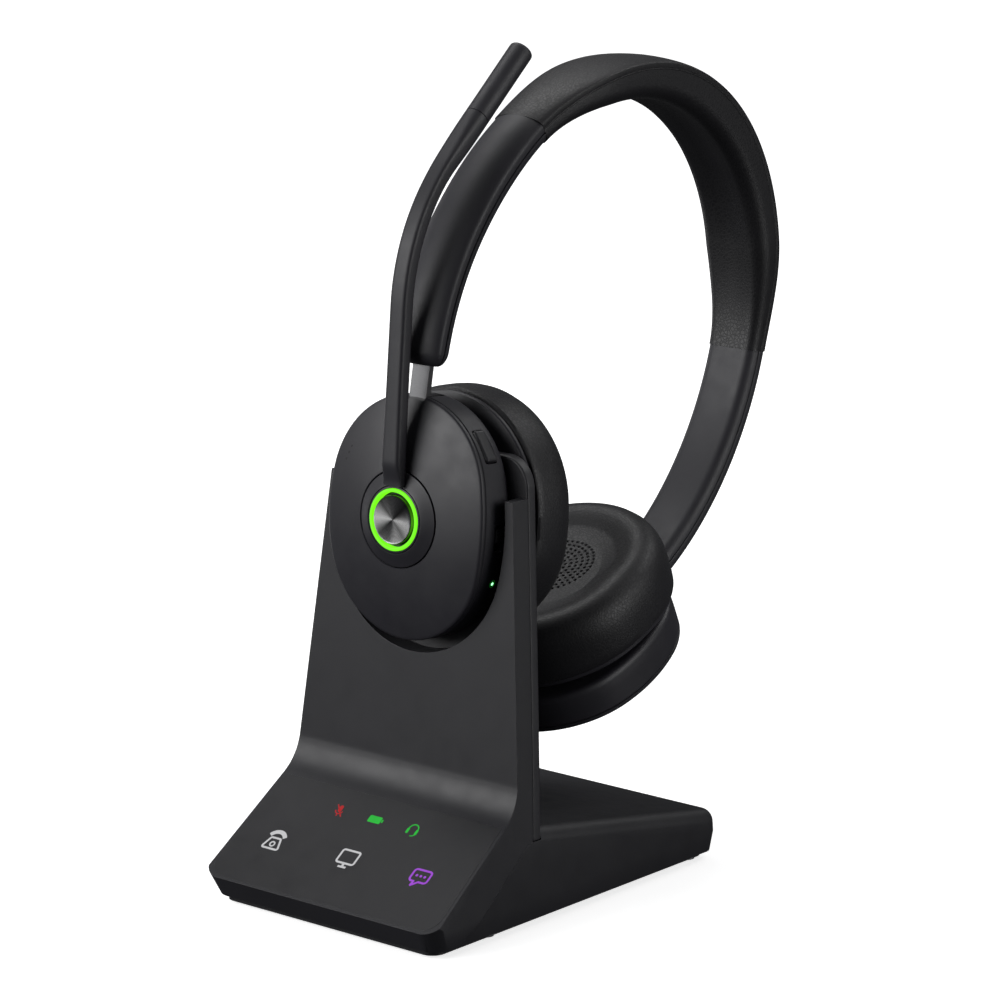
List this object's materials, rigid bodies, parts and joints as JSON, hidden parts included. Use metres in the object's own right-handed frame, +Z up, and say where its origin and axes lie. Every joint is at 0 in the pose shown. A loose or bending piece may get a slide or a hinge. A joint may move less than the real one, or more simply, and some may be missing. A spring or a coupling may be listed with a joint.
{
  "type": "office headset",
  "caption": "Wireless two-ear office headset with boom microphone, docked upright on its wedge-shaped charging stand with touch panel.",
  "frame": {"origin": "centre of the stand's footprint, on the surface that it stands on", "axes": "+Z up, +X to the right of someone facing the touch panel, +Y from the touch panel to the back"},
  "size_m": [0.0846, 0.1922, 0.2328],
  "materials": {
    "stand_shell": "fine satin texture",
    "touch_gloss": "satin gloss",
    "white_light": "lit icons",
    "status_light": "lit icons",
    "green_light": "lit ring",
    "rubber_mat": "matte",
    "steel": "satin",
    "gold": "gold plated",
    "circuit_board": "solder mask",
    "contact_plastic": "matte",
    "headset_shell": "fine satin texture",
    "boom_plastic": "soft touch",
    "control_plastic": "satin",
    "spun_metal": "dark spun finish",
    "microphone": "matte",
    "leatherette": "soft black leatherette",
    "speaker_cloth": "perforated",
    "driver_plastic": "matte",
    "battery_wrap": "wrapped cell"
  },
  "bodies": {
    "stand": {"stand_front_shell": "stand_shell", "touch_panel": "touch_gloss", "icon_lights": "white_light", "status_lights": "status_light", "stand_back_cover": "stand_shell", "stand_rear_body": "stand_shell", "stand_base_plate": "stand_shell", "anti_slip_mat": "rubber_mat", "ballast_plate": "steel", "stand_main_board": "circuit_board", "usb_sockets": "steel", "touch_board": "circuit_board", "stand_screws": "steel", "contact_block": "contact_plastic"},
    "charging_contacts": {"charging_pins": "gold"},
    "left_cup": {"left_front_cover": "headset_shell", "left_housing": "headset_shell", "left_speaker_housing": "headset_shell", "left_cushion": "leatherette", "left_speaker_pad": "speaker_cloth", "left_driver": "driver_plastic", "left_driver_magnet": "steel", "left_pivot_pin": "steel", "left_screws": "steel", "charging_pads": "gold", "hub_core": "headset_shell", "light_ring": "green_light", "headset_board": "circuit_board"},
    "boom": {"boom_hub": "headset_shell", "boom_arm": "boom_plastic", "boom_tip": "boom_plastic", "microphone_capsule": "microphone"},
    "call_button": {"call_button": "spun_metal"},
    "volume_button": {"volume_button": "control_plastic"},
    "power_switch": {"power_switch": "control_plastic"},
    "left_slider": {"left_slider": "steel"},
    "headband": {"left_arm_outer_cover": "headset_shell", "left_arm_inner_cover": "headset_shell", "right_arm_outer_cover": "headset_shell", "right_arm_inner_cover": "headset_shell", "headband_top_cover": "leatherette", "spring_band": "steel", "headband_cushion": "leatherette"},
    "right_slider": {"right_slider": "steel"},
    "right_cup": {"right_front_cover": "headset_shell", "right_housing": "headset_shell", "right_speaker_housing": "headset_shell", "right_cushion": "leatherette", "right_speaker_pad": "speaker_cloth", "right_driver": "driver_plastic", "right_driver_magnet": "steel", "right_pivot_pin": "steel", "right_screws": "steel", "battery": "battery_wrap"}
  },
  "joints": [
    {"name": "headset_lift", "type": "slide", "parent": "stand", "child": "left_cup", "axis": [0, 0.0837, 0.9965], "range_m": [0, 0.08]},
    {"name": "charging_contacts_press", "type": "slide", "parent": "stand", "child": "charging_contacts", "axis": [0, -0.9965, 0.0837], "range_m": [-0.0008, 0], "stiffness_N_per_m": 150},
    {"name": "boom_swing", "type": "hinge", "parent": "left_cup", "child": "boom", "pos_m": [0, -0.0243, 0.1084], "axis": [0, -0.9965, 0.0837], "range_deg": [-120, 120]},
    {"name": "call_button_press", "type": "slide", "parent": "left_cup", "child": "call_button", "axis": [0, -0.9965, 0.0837], "range_m": [-0.0005, 0], "stiffness_N_per_m": 800},
    {"name": "volume_button_press", "type": "slide", "parent": "left_cup", "child": "volume_button", "axis": [0.9284, 0.0311, 0.3704], "range_m": [-0.0004, 0], "stiffness_N_per_m": 800},
    {"name": "power_switch_slide", "type": "slide", "parent": "left_cup", "child": "power_switch", "axis": [0.0233, 0.0837, 0.9962], "range_m": [-0.0025, 0]},
    {"name": "left_cup_tilt", "type": "hinge", "parent": "left_cup", "child": "left_slider", "pos_m": [0, -0.01789, 0.13696], "axis": [1, 0, 0], "range_deg": [0, 3.5]},
    {"name": "left_extension", "type": "slide", "parent": "left_slider", "child": "headband", "axis": [0, 0.1822, 0.9833], "range_m": [-0.004, 0.0005]},
    {"name": "right_extension", "type": "slide", "parent": "headband", "child": "right_slider", "axis": [0, -0.8704, -0.4924], "range_m": [-0.001, 0.006]},
    {"name": "right_cup_tilt", "type": "hinge", "parent": "right_slider", "child": "right_cup", "pos_m": [0, 0.07089, 0.07079], "axis": [1, 0, 0], "range_deg": [0, 11]}
  ]
}
